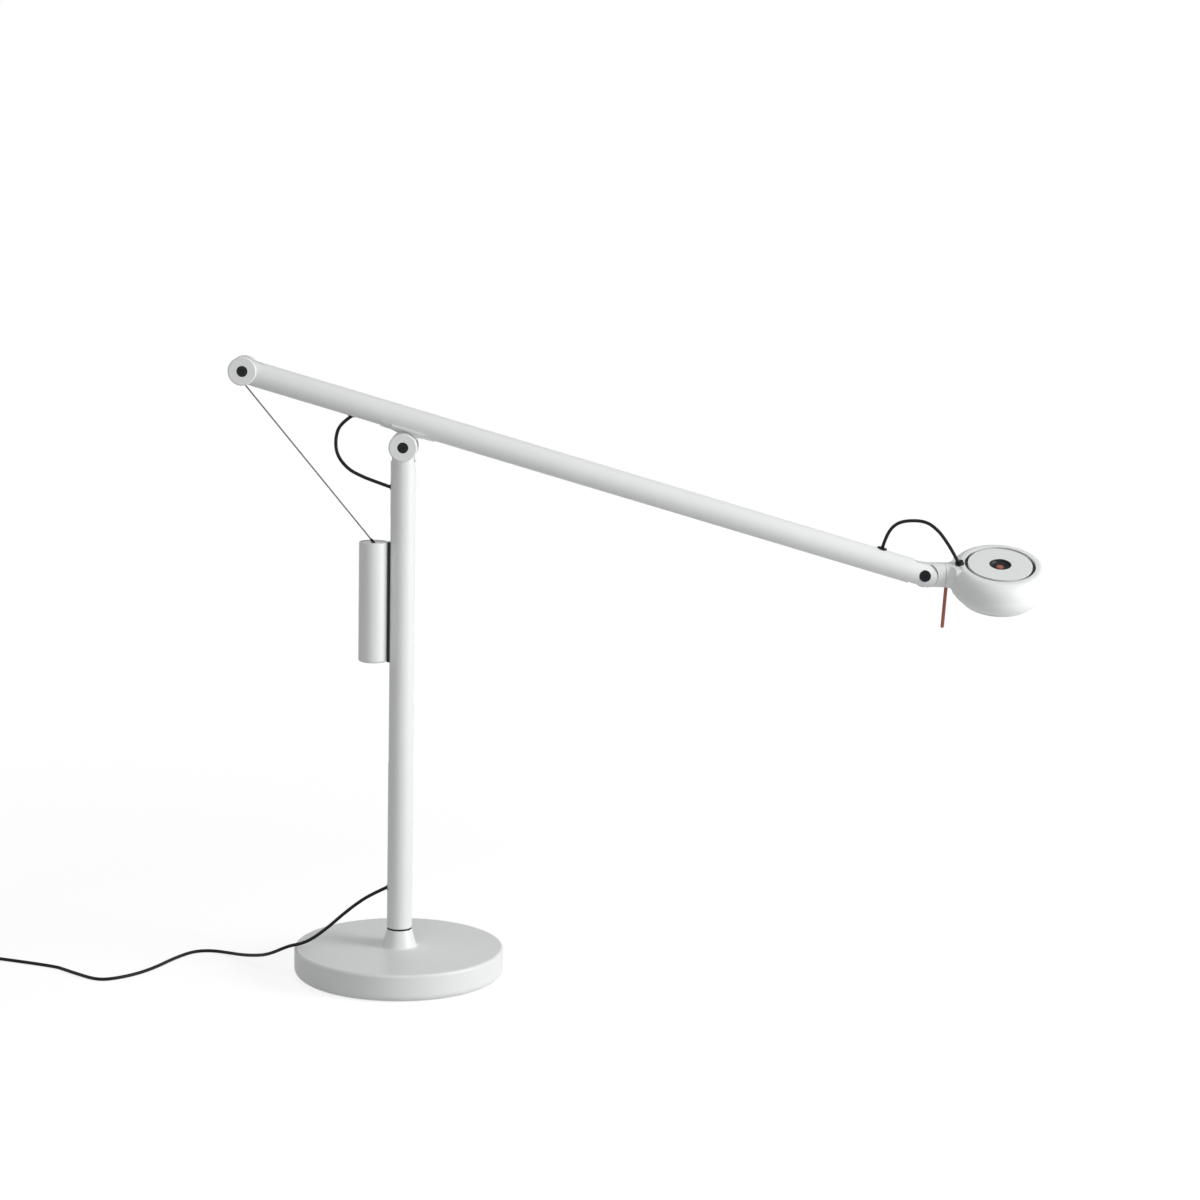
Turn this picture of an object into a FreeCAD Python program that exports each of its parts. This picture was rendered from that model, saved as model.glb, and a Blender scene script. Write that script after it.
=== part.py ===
"""Counterweight balance desk lamp, as an assembly of separate pieces, in millimetres.

The origin is the middle of the base on the table, +Z is up and the head reaches out along +X.
The arm tilts on the head of the post, a wire from its tail carries a weight that slides on the
post, and the head tilts and rolls at the far end of the arm.
"""
import FreeCAD, Part
import math
import os

V = FreeCAD.Vector
ORIGIN, X, Y, Z = V(0, 0, 0), V(1, 0, 0), V(0, 1, 0), V(0, 0, 1)

# ---- fits
push_fit = 0.03          # radial gap of pieces pressed or screwed together
running_fit = 0.05       # gap of pieces that turn or slide on each other
shoe_fit = 0.10          # gap between the sliding shoe and the post
cover = 60.0             # reach of a cutter past what it cuts

# ---- base
base_radius = 105.0
base_height = 28.4       # top face above the table
top_round = 3.0
bottom_round = 7.0
cone_foot_radius = 17.4
cone_foot_fillet = 2.8
cone_top_radius = 12.35
cone_top = 46.4
pad_inset = 13.0         # from the rim of the casting
pad_thickness = 2.8
pad_stand = 0.8          # how far the pad lifts the casting off the table
nut_pocket_radius = 17.0
nut_pocket_roof = 16.0

# ---- swivel between base and post
spindle_radius = 6.0
spindle_bottom = 4.6
bush_wall = 2.0
bush_flange_radius = 12.0
bush_flange = 1.5
spring_washer_radius = 10.8
spring_washer = 1.4
nut_across_corners = 20.8
nut_thickness = 6.0
washer_thickness = 1.6   # the black ring that shows under the collar
collar_height = 13.45
collar_spigot = 14.0

# ---- post
post_radius = 12.5
post_wall = 2.0
pivot_height = 533.15    # arm pivot above the table
post_cap_reach = 17.15   # from the end of the post tube to the pivot
post_cap_spigot = 13.0
slot_half_width = 3.4
slot_margin = 3.0        # spare slot past the ends of the shoe's travel

# ---- hubs: the round fork ends at the top of the post and at the tail of the arm
disc_radius = 14.0
disc_face = 14.0         # outer face from the middle plane
disc_bevel = 1.1
cheek_radius = 13.6
cheek_outside = 11.0
hub_gap = 12.4           # between the cheeks at the pivot and at the head hinge
hub_floor = 14.4         # depth of the gap past the pivot
axle_radius = 4.0
hub_screw_radius = 5.35
hub_screw_head = 1.9
hub_screw_sink = 0.15    # head below the face of the disc
screw_shank_radius = 2.4
screw_shank = 7.0
socket_size = 4.0        # hexagon across corners
socket_depth = 1.1
tongue_half_width = 5.4
bush_outer_radius = 5.0
bush_flange_out = 8.6

# ---- arm
arm_radius = 12.5
arm_wall = 1.5
arm_slope = 15.67        # head end down, in degrees
arm_rear = 170.1         # tail hub to the foot of the pivot, along the arm
arm_front = 526.5        # foot of the pivot to the head hinge
arm_above_pivot = 26.5
tail_reach = 17.7        # tail hub to the end of the arm tube
tail_spigot = 16.0
tail_gap = 7.0
tail_floor = 12.4
tail_pin_tip = 1.75      # inner ends of the two stub pins from the middle plane
fork_reach = 16.4        # end of the arm tube to the head hinge
fork_spigot = 18.0
fork_floor = 13.4

# ---- saddle that joins the arm to the pivot
saddle_half_length = 27.5
saddle_plate = 1.0
saddle_edge = 7.5        # how far below the arm's axis the plate ends
saddle_cut_radius = 16.2
saddle_boss_half = 10.8
saddle_flare_half = 16.5
saddle_boss_radius = 14.9
saddle_boss_half_width = 11.8
saddle_tongue_radius = 12.0
saddle_neck_half = 10.2
saddle_screw_place = 21.0
saddle_screw_head = 3.4
saddle_screw_depth = 5.2

# ---- counterweight, its shoe and its wire
weight_radius = 14.5
weight_x = -28.6
weight_length = 119.8
weight_hang = 94.55      # rim of the weight below the arm pivot
weight_edge = 3.0
weight_rim = 1.0         # wall of the shallow recess in the top
weight_recess = 1.0
weight_lid = 3.0
weight_well_radius = 9.0
weight_well = 12.0
weight_rise = 24.9       # travel above and below the place it has here
weight_drop = 99.5
shoe_half_width = 4.4
shoe_web_half = 3.2
shoe_head_half = 7.0
shoe_head_depth = 3.8
shoe_screw_radius = 2.0
shoe_screw_head = 3.4
shoe_screw_inset = 25.0
wire_radius = 0.75
wire_lean = 39.6         # from the vertical, in degrees
wire_length = 207.5
wire_eye_radius = 2.7
wire_eye_bore = 1.2
wire_eye_half_width = 1.4
ferrule_radius = 1.35
ferrule_above = 4.6
ferrule_below = 7.0
ferrule_ball = 2.3       # the ball under the lid that the wire pulls on
ferrule_swing_room = 0.8

# ---- head hinge, neck and roll joint
hinge_seat = 10.9        # seats of the hinge screws from the middle plane
hinge_screw_radius = 5.75
hinge_screw_head = 1.45
neck_radius = 12.4
neck_cut_radius = 13.1
neck_tongue_radius = 12.0
neck_length = 20.6       # hinge to the roll joint
roll_gap = 0.3
roll_bolt_radius = 4.5
roll_bolt_start = 8.0
roll_bolt_flange = 7.0
roll_bolt_flange_height = 2.5
roll_boss_radius = 9.0
roll_boss_end = 31.0

# ---- head, about its own upright axis; heights from the neck's axis
head_roll = 20.9         # in degrees, top towards the viewer
head_reach = 74.53       # hinge to the head's axis
head_radius = 48.85
head_top = 13.14
head_wall = 2.2
crown_in = 11.04         # the rounded shoulder, across and down
crown_down = 14.46
side_bottom = -6.7
belly_radius = 47.0
belly_level = -13.5
mouth_radius = 39.8
mouth_level = -22.2
mouth_lip = 1.3
stub_flare_start = 22.6
stub_flare_length = 7.2
stub_flare_rise = 6.5
stub_flat = 0.05         # depth of the level strip on top of the stub
quarter = 0.5523         # handle length of a curve that turns a quarter round, in radii
ring_groove_radius = 35.0
ring_groove_depth = 3.4
plate_radius = 31.7
plate_thickness = 2.6
ring_thickness = 1.2
dish_radius = 10.9
dish_wall = 0.7
dish_floor = 1.2
dish_depth = 4.2
roof_opening_radius = 13.0
button_radius = 3.7
button_top_depth = 2.6
button_foot = 3.4
button_collar = 5.2
button_travel = 1.2
board_radius = 20.0
board_level = -1.5
board_thickness = 1.6
switch_half = 3.0
board_post_place = 16.0
board_post_radius = 2.6
heat_sink_radius = 40.2
heat_sink_level = -8.0   # underside of the plate
heat_sink_plate = 2.5
fin_height = 5.0
fin_thickness = 1.4
fin_count = 5
fin_pitch = 12.0
led_board_radius = 30.0
led_board_thickness = 1.6
led_place_radius = 21.0
led_size = 3.0
led_height = 0.8
led_count = 12
head_post_radius = 3.2
head_post_place = 33.2
head_screw_radius = 1.5
head_screw_head = 2.7
lens_radius = 38.4
lens_wall = 1.8
lens_top = -14.0
lens_bottom = -26.98
lens_floor_radius = 33.0
lens_ring_wall = 2.2
handle_radius = 1.8
handle_place = 23.1
handle_length = 48.0
handle_root = 3.0        # how deep the pin is set into the stub

# ---- cables
cable_radius = 1.7
cable_fit = 0.05
sleeve_wall = 1.1
sleeve_proud = 0.5
cord_start_gap = 1.8     # the free cord starts clear of the sleeve, which swivels past it
grommet_radius = 4.9
grommet_thickness = 1.5
rear_hole_place = 113.2  # along the arm from the tail hub
rear_hole_slope = 50.0   # the cable leaves towards the tail, below the arm's axis
front_hole_place = 47.1  # along the arm from the head hinge
head_hole_place = 33.9   # hinge to the cable's hole in the head
head_hole_lean = 28.0    # towards the tail of the arm, from the head's axis
post_hole_drop = 40.25   # below the arm pivot
post_hole_slope = 19.0
exit_rise = 27.2         # above the foot of the post tube
exit_slope = 26.0
post_cable_x = 4.5
arm_cable_drop = 5.0
rear_loop_lead = 13.0    # straight run of a loop before its first bend
front_loop_lead = 12.0
head_loop_lead = 9.0

# ---- coil of put-away cord and the plug-in supply at its end
coil_x = -459.0
coil_floor = 1.9         # height of the cord's middle on the table
coil_first_radius = 24.1
coil_pitch = 3.85        # from turn to turn and from layer to layer
coil_layer_turns = 4     # half turns in a layer, before the half turn that climbs
coil_half_turns = 18
coil_tail = 24.0         # straight end that carries the supply clear of the turns
supply_length = 56.0
supply_width = 38.0
supply_edge = 5.0
supply_boot = 24.0
supply_boot_radius = 4.2
pin_radius = 2.0
pin_length = 19.0
pin_spacing = 19.0

pad_radius = base_radius - pad_inset
tube_bore = post_radius - post_wall
arm_bore = arm_radius - arm_wall
arm_span = arm_rear + arm_front
post_bottom = cone_top + washer_thickness + collar_height + running_fit
post_top = pivot_height - post_cap_reach
weight_top = pivot_height - weight_hang
weight_bottom = weight_top - weight_length
pivot = V(0, 0, pivot_height)
head_axis = V(head_reach, 0, 0)

arm_turn = FreeCAD.Rotation(Y, arm_slope)
arm_frame = FreeCAD.Placement(pivot - arm_turn.multVec(V(arm_rear, 0, -arm_above_pivot)), arm_turn)
hinge = arm_frame.multVec(V(arm_span, 0, 0))
neck_frame = FreeCAD.Placement(hinge, FreeCAD.Rotation())
head_frame = FreeCAD.Placement(hinge, FreeCAD.Rotation(X, head_roll))
post_head_frame = FreeCAD.Placement(pivot, FreeCAD.Rotation())
tail_frame = arm_frame.multiply(FreeCAD.Placement(ORIGIN, FreeCAD.Rotation(Y, -90)))
fork_frame = arm_frame.multiply(FreeCAD.Placement(V(arm_span, 0, 0), FreeCAD.Rotation(Y, 90)))

pieces = {}


# ---- building blocks

def bar(radius, start, end, axis=Z, centre=ORIGIN):
    """Round bar about an axis through centre, between two distances along the axis."""
    return Part.makeCylinder(radius, end - start, centre + axis * start, axis)


def sleeve(outer, inner, start, end, axis=Z, centre=ORIGIN):
    """Round tube; its bore is cut clear through both ends."""
    return bar(outer, start, end, axis, centre).cut(bar(inner, start - 1, end + 1, axis, centre))


def block(x, y, z):
    """Box between three pairs of limits."""
    return Part.makeBox(x[1] - x[0], y[1] - y[0], z[1] - z[0], V(x[0], y[0], z[0]))


def face(*steps):
    """Flat face in the XZ plane. A step is the end of a line, an arc's middle and end, or the two
    handles and the end of a smooth curve."""
    edges = []
    here = V(steps[0][0], 0, steps[0][1])
    for step in steps[1:] + steps[:1]:
        if isinstance(step[0], tuple):
            *middle, end = (V(x, 0, z) for x, z in step)
            if len(middle) == 1:
                curve = Part.Arc(here, middle[0], end)
            else:
                curve = Part.BezierCurve()
                curve.setPoles([here, *middle, end])
            edges.append(curve.toShape())
        else:
            end = V(step[0], 0, step[1])
            if end.distanceToPoint(here) > 1e-6:
                edges.append(Part.LineSegment(here, end).toShape())
        here = end
    return Part.Face(Part.Wire(edges))


def turned(*steps):
    """Solid of revolution about Z from a half outline."""
    return face(*steps).revolve(ORIGIN, Z, 360)


def slab(half_width, *steps):
    """Outline in the XZ plane thickened evenly about the middle plane."""
    flat = face(*steps)
    flat.translate(Y * -half_width)
    return flat.extrude(Y * 2 * half_width)


def joined(first, *others):
    return first.fuse(list(others)).removeSplitter()


def rims(shape, *places):
    """Circular edges about Z with a given radius and height."""
    found = []
    for edge in shape.Edges:
        if not isinstance(edge.Curve, Part.Circle):
            continue
        for radius, level in places:
            if abs(edge.Curve.Radius - radius) < 0.01 and abs(edge.Curve.Center.z - level) < 0.01:
                found.append(edge)
    return found


def placed(shape, frame):
    moved = shape.copy()
    moved.Placement = frame.multiply(moved.Placement)
    return moved


def both_sides(shape):
    """A piece on the viewer's side and its mirror image on the far side."""
    return Part.makeCompound([shape, shape.mirror(ORIGIN, Y)])


def aimed(shape, at, direction):
    """Moves a piece built on +Z so that it stands at a point, along a direction."""
    return placed(shape, FreeCAD.Placement(at, FreeCAD.Rotation(Z, direction)))


def socket_screw(head_radius, head_height, shank_radius, shank_length):
    """Round-headed screw with a hexagon socket, its seat at the origin and its head along +Z."""
    corners = [V(math.cos(math.radians(60 * k)), math.sin(math.radians(60 * k)), 0) * socket_size / 2
               for k in range(7)]
    socket = Part.Face(Part.makePolygon(corners)).extrude(Z * socket_depth)
    socket.translate(Z * (head_height - socket_depth))
    head = bar(head_radius, 0, head_height)
    head = head.makeChamfer(0.3, rims(head, (head_radius, head_height)))
    return joined(head, bar(shank_radius, -shank_length, 0)).cut(socket)


def flanged_bush(bore, outer, flange_radius, inside, outside, end):
    """Bush about Y on the viewer's side, its flange between two distances from the middle."""
    body = joined(bar(outer, inside, outside, -Y), bar(flange_radius, outside, end, -Y))
    return body.cut(bar(bore, inside - 1, end + 1, -Y))


# ---- cords: straight runs joined by arcs that touch both of their runs

def corner_arc(start, corner, end):
    """Arc that touches both legs of a corner at their outer ends, which lie equally far off."""
    middle = (start + end) * 0.5
    half_chord = start.distanceToPoint(end) / 2
    height = corner.distanceToPoint(middle)
    turn = math.atan2(height, half_chord)
    top = middle + (corner - middle) * (half_chord * math.tan(turn / 2) / height)
    return Part.Arc(start, top, end).toShape()


def route(points, radii=None):
    """Path of straight runs and arcs, each arc as large as its two runs allow."""
    edges = []
    here = points[0]
    for before, corner, after in zip(points, points[1:], points[2:]):
        run = min(before.distanceToPoint(corner), corner.distanceToPoint(after)) * 0.45
        start = corner + (before - corner).normalize() * run
        end = corner + (after - corner).normalize() * run
        edges.append(Part.LineSegment(here, start).toShape())
        edges.append(corner_arc(start, corner, end))
        if radii is not None:
            radii.append(edges[-1].Curve.Radius)
        here = end
    edges.append(Part.LineSegment(here, points[-1]).toShape())
    return Part.Wire(edges)


def swept(path, radius):
    """Round section carried along a path."""
    first = path.OrderedEdges[0]
    start, heading = first.valueAt(first.FirstParameter), first.tangentAt(first.FirstParameter)
    ring = Part.Wire(Part.Circle(start, heading, radius).toShape())
    return path.makePipeShell([ring], True, False)


def biarc(start, heading, end, end_heading):
    """Two arcs that leave and arrive along the given headings and touch where they meet."""
    gap = end - start
    spread = 2 * (1 - heading.dot(end_heading))
    across = gap.dot(heading + end_heading)
    leg = (math.sqrt(across * across + spread * gap.dot(gap)) - across) / spread
    middle = (start + end + (heading - end_heading) * leg) * 0.5
    return [corner_arc(start, start + heading * leg, middle), corner_arc(middle, end - end_heading * leg, end)]


# ---- pieces of the base

def make_base():
    bore = spindle_radius + running_fit + bush_wall
    bottom = pad_stand
    casting = turned(
        (bore + push_fit, nut_pocket_roof),
        (nut_pocket_radius, nut_pocket_roof),
        (nut_pocket_radius, pad_thickness),
        (pad_radius + push_fit, pad_thickness),
        (pad_radius + push_fit, bottom),
        (base_radius, bottom),
        (base_radius, base_height),
        (cone_foot_radius, base_height),
        (cone_top_radius, cone_top),
        (bore + push_fit, cone_top),
    )
    casting = casting.makeFillet(bottom_round, rims(casting, (base_radius, bottom)))
    casting = casting.makeFillet(top_round, rims(casting, (base_radius, base_height)))
    casting = casting.makeFillet(cone_foot_fillet, rims(casting, (cone_foot_radius, base_height)))
    pieces["base_casting"] = casting
    pad = bar(pad_radius, 0, pad_thickness)
    pieces["base_pad"] = pad.makeChamfer(pad_stand / 2, rims(pad, (pad_radius, 0)))
    pieces["swivel_bush"] = joined(
        sleeve(bore, spindle_radius + running_fit, nut_pocket_roof - bush_flange, cone_top),
        sleeve(bush_flange_radius, spindle_radius + running_fit,
               nut_pocket_roof - bush_flange, nut_pocket_roof),
    )
    pieces["swivel_washer"] = sleeve(cone_top_radius, spindle_radius + running_fit,
                                     cone_top, cone_top + washer_thickness)


# ---- pieces of the post

def make_swivel():
    collar_bottom = cone_top + washer_thickness + running_fit
    pieces["swivel_spindle"] = bar(spindle_radius, spindle_bottom, post_bottom + collar_spigot - 1)
    spring_top = nut_pocket_roof - bush_flange - running_fit
    spring_bottom = spring_top - spring_washer
    pieces["spring_washer"] = sleeve(spring_washer_radius, spindle_radius + push_fit,
                                     spring_bottom, spring_top)
    corners = [V(math.cos(math.radians(60 * k)), math.sin(math.radians(60 * k)), 0) for k in range(7)]
    hexagon = Part.Face(Part.makePolygon([corner * (nut_across_corners / 2) for corner in corners]))
    hexagon.translate(Z * (spring_bottom - nut_thickness))
    nut = hexagon.extrude(Z * nut_thickness)
    pieces["spindle_nut"] = nut.cut(bar(spindle_radius + push_fit, 0, spring_bottom))
    collar = bar(post_radius, collar_bottom, post_bottom)
    collar = collar.makeChamfer(0.4, rims(collar, (post_radius, collar_bottom)))
    spigot = bar(tube_bore - push_fit, post_bottom, post_bottom + collar_spigot)
    collar = joined(collar, spigot)
    pieces["post_collar"] = collar.cut(bar(spindle_radius + push_fit, 0, post_bottom + collar_spigot + 1))


def hub_fork(neck_radius_here, spigot_radius, spigot_length, reach, gap, floor):
    """Forked end of a tube, its hub at the origin and the tube below it."""
    body = joined(
        bar(neck_radius_here, -reach, 0),
        bar(cheek_radius, -cheek_outside, cheek_outside, Y),
        bar(spigot_radius, -reach - spigot_length, -reach),
    )
    for side in (Y, -Y):
        body = body.cut(bar(disc_radius + running_fit, cheek_outside, cover, side))
    body = body.cut(block((-cover, cover), (-gap / 2, gap / 2), (-floor, cover)))
    return body.cut(bar(axle_radius + push_fit, -cover, cover, Y))


def cover_disc():
    """Turned disc that closes a hub on the viewer's side."""
    disc = bar(disc_radius, cheek_outside, disc_face)
    disc = disc.makeChamfer(disc_bevel, rims(disc, (disc_radius, disc_face)))
    seat = disc_face - hub_screw_sink - hub_screw_head
    disc = disc.cut(bar(hub_screw_radius + push_fit, seat, disc_face + 1))
    disc = disc.cut(bar(screw_shank_radius + push_fit, 0, disc_face))
    return aimed(disc, ORIGIN, -Y)


def hub_screws():
    screw = socket_screw(hub_screw_radius, hub_screw_head, screw_shank_radius, screw_shank)
    return both_sides(aimed(screw, Y * -(disc_face - hub_screw_sink - hub_screw_head), -Y))


def tapped(shape, reach):
    """Screw holes in both ends of an axle about Y that ends at a given distance."""
    for side in (Y, -Y):
        shape = shape.cut(bar(screw_shank_radius + push_fit, reach - screw_shank, reach + 1, side))
    return shape


def make_post():
    slot_top = weight_top + weight_rise + slot_margin
    slot_bottom = weight_bottom - weight_drop - slot_margin
    tube = sleeve(post_radius, tube_bore, post_bottom, post_top)
    slot = block((-cover, 0), (-slot_half_width, slot_half_width),
                 (slot_bottom + slot_half_width, slot_top - slot_half_width))
    for end in (slot_bottom + slot_half_width, slot_top - slot_half_width):
        slot = slot.fuse(bar(slot_half_width, 0, cover, -X, Z * end))
    tube = tube.cut(slot)
    for at, heading in ((post_hole, post_hole_heading), (exit_hole, exit_heading)):
        tube = tube.cut(bar(cable_radius + cable_fit + sleeve_wall + push_fit, -12, 8, heading, at))
    pieces["post_tube"] = tube
    cap = hub_fork(post_radius, tube_bore - push_fit, post_cap_spigot, post_cap_reach, hub_gap, hub_floor)
    pieces["post_cap"] = placed(cap, post_head_frame)
    pieces["pivot_discs"] = placed(both_sides(cover_disc()), post_head_frame)
    pieces["pivot_screws"] = placed(hub_screws(), post_head_frame)
    axle = tapped(bar(axle_radius, -cheek_outside, cheek_outside, Y), cheek_outside)
    pieces["pivot_axle"] = placed(axle, post_head_frame)
    pieces["post_grommets"] = Part.makeCompound([
        wall_sleeve(post_hole, post_hole_heading),
        wall_sleeve(exit_hole, exit_heading),
    ])


def wall_sleeve(at, heading):
    """Short rubber sleeve through the post's wall, a little proud of it."""
    outer = cable_radius + cable_fit + sleeve_wall
    body = sleeve(outer, cable_radius + cable_fit, -6, 3, heading, at)
    shell = sleeve(post_radius + sleeve_proud, tube_bore - sleeve_proud, at.z - 20, at.z + 20)
    return body.common(shell)


# ---- pieces of the arm, about the arm's axis with the tail hub at the origin

def make_saddle():
    foot = FreeCAD.Placement(V(arm_rear, 0, 0), FreeCAD.Rotation())
    plate = sleeve(arm_radius + saddle_plate, arm_radius, -saddle_half_length, saddle_half_length, X)
    plate = plate.cut(block((-cover, cover), (-cover, cover), (-saddle_edge, cover)))
    boss_level = -arm_above_pivot + math.sqrt(saddle_cut_radius ** 2 - saddle_boss_half ** 2)
    plate_level = -arm_radius - saddle_plate + 0.1
    bend = (saddle_boss_half * 0.62 + saddle_flare_half * 0.38, boss_level * 0.3 + plate_level * 0.7)
    boss = slab(
        saddle_boss_half_width,
        (-saddle_boss_half, boss_level),
        ((0, saddle_cut_radius - arm_above_pivot), (saddle_boss_half, boss_level)),
        (bend, (saddle_flare_half, plate_level)),
        (saddle_flare_half, -saddle_edge),
        (-saddle_flare_half, -saddle_edge),
        (-saddle_flare_half, plate_level),
        ((-bend[0], bend[1]), (-saddle_boss_half, boss_level)),
    )
    boss = boss.common(bar(saddle_boss_radius, -cover, cover, X))
    pivot_here = Z * -arm_above_pivot
    clear = bar(saddle_cut_radius, -cover, cover, Y, pivot_here)
    tongue = bar(saddle_tongue_radius, -tongue_half_width, tongue_half_width, Y, pivot_here)
    neck = block((-saddle_neck_half, saddle_neck_half), (-tongue_half_width, tongue_half_width),
                 (-arm_above_pivot, -arm_radius / 2))
    body = joined(plate.cut(clear), boss, tongue, neck)
    body = body.cut(bar(arm_radius + push_fit, -cover, cover, X))
    body = body.cut(bar(bush_outer_radius + push_fit, -cover, cover, Y, pivot_here))
    level = arm_radius + saddle_plate
    screw = joined(bar(saddle_screw_head, 0, 0.4), bar(screw_shank_radius - 0.4, -saddle_screw_depth, 0))
    screw = joined(screw, Part.makeCone(screw_shank_radius - 0.4, saddle_screw_head, 0.6, Z * -0.6))
    screws = [aimed(screw, V(place, 0, -level + 0.4), -Z) for place in (-saddle_screw_place, saddle_screw_place)]
    for place in (-saddle_screw_place, saddle_screw_place):
        body = body.cut(bar(saddle_screw_head + push_fit, -cover, -level + 1.9, Z, X * place))
    pieces["arm_saddle"] = placed(body, arm_frame.multiply(foot))
    pieces["saddle_screws"] = placed(Part.makeCompound(screws), arm_frame.multiply(foot))
    bush = flanged_bush(axle_radius + running_fit, bush_outer_radius, bush_flange_out,
                        0.1, tongue_half_width, hub_gap / 2 - running_fit)
    pieces["pivot_bushes"] = placed(both_sides(bush), post_head_frame)


def make_arm():
    tube = sleeve(arm_radius, arm_bore, tail_reach, arm_span - fork_reach, X)
    hole = cable_radius + cable_fit + sleeve_wall + push_fit
    tube = tube.cut(bar(hole, -12, 8, rear_heading, rear_hole))
    tube = tube.cut(bar(hole, 0, cover, Z, front_hole))
    for place in (-saddle_screw_place, saddle_screw_place):
        tube = tube.cut(bar(screw_shank_radius - 0.4 + push_fit, 0, cover, -Z, X * (arm_rear + place)))
    pieces["arm_tube"] = placed(tube, arm_frame)

    tail = hub_fork(arm_radius, arm_bore - push_fit, tail_spigot, tail_reach, tail_gap, tail_floor)
    wire_way = block((0, cover), (-tail_gap / 2, tail_gap / 2), (-tail_reach + 1, 0))
    pieces["tail_cap"] = placed(tail.cut(wire_way), tail_frame)
    pieces["tail_discs"] = placed(both_sides(cover_disc()), tail_frame)
    pin = tapped(bar(axle_radius, tail_pin_tip, cheek_outside, -Y), cheek_outside)
    pieces["tail_pins"] = placed(both_sides(pin), tail_frame)

    fork = joined(
        bar(arm_radius, -fork_reach, arm_radius),
        bar(arm_bore - push_fit, -fork_reach - fork_spigot, -fork_reach),
    )
    rounding = bar(arm_radius, -cover, cover, Y).fuse(
        block((-arm_radius, arm_radius), (-cover, cover), (-cover, 0)))
    fork = fork.common(rounding)
    fork = fork.cut(block((-cover, cover), (-hub_gap / 2, hub_gap / 2), (-fork_floor, cover)))
    fork = fork.cut(bar(axle_radius + push_fit, -cover, cover, Y))
    for side in (Y, -Y):
        fork = fork.cut(bar(hinge_screw_radius + push_fit, hinge_seat, cover, side))
    pieces["fork_cap"] = placed(fork, fork_frame)
    hinge_pin = tapped(bar(axle_radius, -hinge_seat, hinge_seat, Y), hinge_seat)
    pieces["hinge_pin"] = placed(hinge_pin, fork_frame)
    hinge_screw = socket_screw(hinge_screw_radius, hinge_screw_head, screw_shank_radius, screw_shank)
    hinge_screws = both_sides(aimed(hinge_screw, Y * -hinge_seat, -Y))
    pieces["arm_screws"] = Part.makeCompound([placed(hub_screws(), tail_frame), placed(hinge_screws, fork_frame)])

    pieces["front_grommet"] = placed(arm_grommet(), arm_frame)
    rear = sleeve(hole - push_fit, cable_radius + cable_fit, -8, 4, rear_heading, rear_hole)
    shell = sleeve(arm_radius + sleeve_proud, arm_bore - sleeve_proud, 0, arm_span, X)
    pieces["rear_grommet"] = placed(rear.common(shell), arm_frame)


def arm_grommet():
    """Flanged rubber grommet that sits on the top of the arm tube."""
    flange = bar(grommet_radius, arm_radius - 3, arm_radius + grommet_thickness, Z, front_hole)
    flange = flange.makeFillet(0.8, rims(flange, (grommet_radius, arm_radius + grommet_thickness)))
    flange = flange.cut(bar(arm_radius + push_fit, -cover, arm_span + cover, X))
    neck = bar(cable_radius + cable_fit + sleeve_wall, arm_bore - 1, arm_radius + 1, Z, front_hole)
    return joined(flange, neck).cut(bar(cable_radius + cable_fit, 0, cover, Z, front_hole))


# ---- counterweight and wire

def make_weight():
    axis = X * weight_x
    lid_top = weight_top - weight_recess
    lid_radius = weight_radius - weight_rim
    body = bar(weight_radius, weight_bottom, weight_top, Z, axis)
    body = body.makeFillet(weight_edge, rims(body, (weight_radius, weight_bottom)))
    body = body.makeChamfer(0.4, rims(body, (weight_radius, weight_top)))
    body = body.cut(bar(lid_radius, lid_top - weight_lid, cover * 10, Z, axis))
    body = body.cut(bar(weight_well_radius, lid_top - weight_lid - weight_well, cover * 10, Z, axis))
    lid = bar(lid_radius - push_fit, lid_top - weight_lid, lid_top, Z, axis)
    swing_room = ferrule_radius + ferrule_swing_room
    pieces["weight_lid"] = lid.cut(bar(swing_room, -cover, cover, wire_heading, wire_foot))

    strip = block((weight_x, 0), (-shoe_half_width, shoe_half_width), (weight_bottom, weight_top))
    strip = strip.cut(bar(weight_radius + push_fit, 0, cover * 10, Z, axis))
    strip = strip.cut(bar(post_radius + shoe_fit, 0, cover * 10))
    inner = tube_bore - shoe_fit
    web = block((-post_radius - 1, -inner + 1), (-shoe_web_half, shoe_web_half), (weight_bottom, weight_top))
    head = block((-inner - 1, -inner + shoe_head_depth), (-shoe_head_half, shoe_head_half),
                 (weight_bottom, weight_top)).common(bar(inner, weight_bottom, weight_top))
    shoe = joined(strip, web, head)
    screw_heights = (weight_bottom + shoe_screw_inset, weight_top - shoe_screw_inset)
    head_seat = inner - shoe_head_depth + 1.5
    screws = []
    for height in screw_heights:
        screws.append(joined(bar(shoe_screw_radius, head_seat, post_radius + 10, -X, Z * height),
                             bar(shoe_screw_head, head_seat - 1.4, head_seat, -X, Z * height)))
        hole = bar(shoe_screw_radius + push_fit, 0, post_radius + 11, -X, Z * height)
        shoe = shoe.cut(hole).cut(bar(shoe_screw_head + push_fit, 0, head_seat, -X, Z * height))
        body = body.cut(hole)
    pieces["slide_shoe"] = shoe
    pieces["shoe_screws"] = Part.makeCompound(screws)
    pieces["weight_body"] = body


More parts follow.
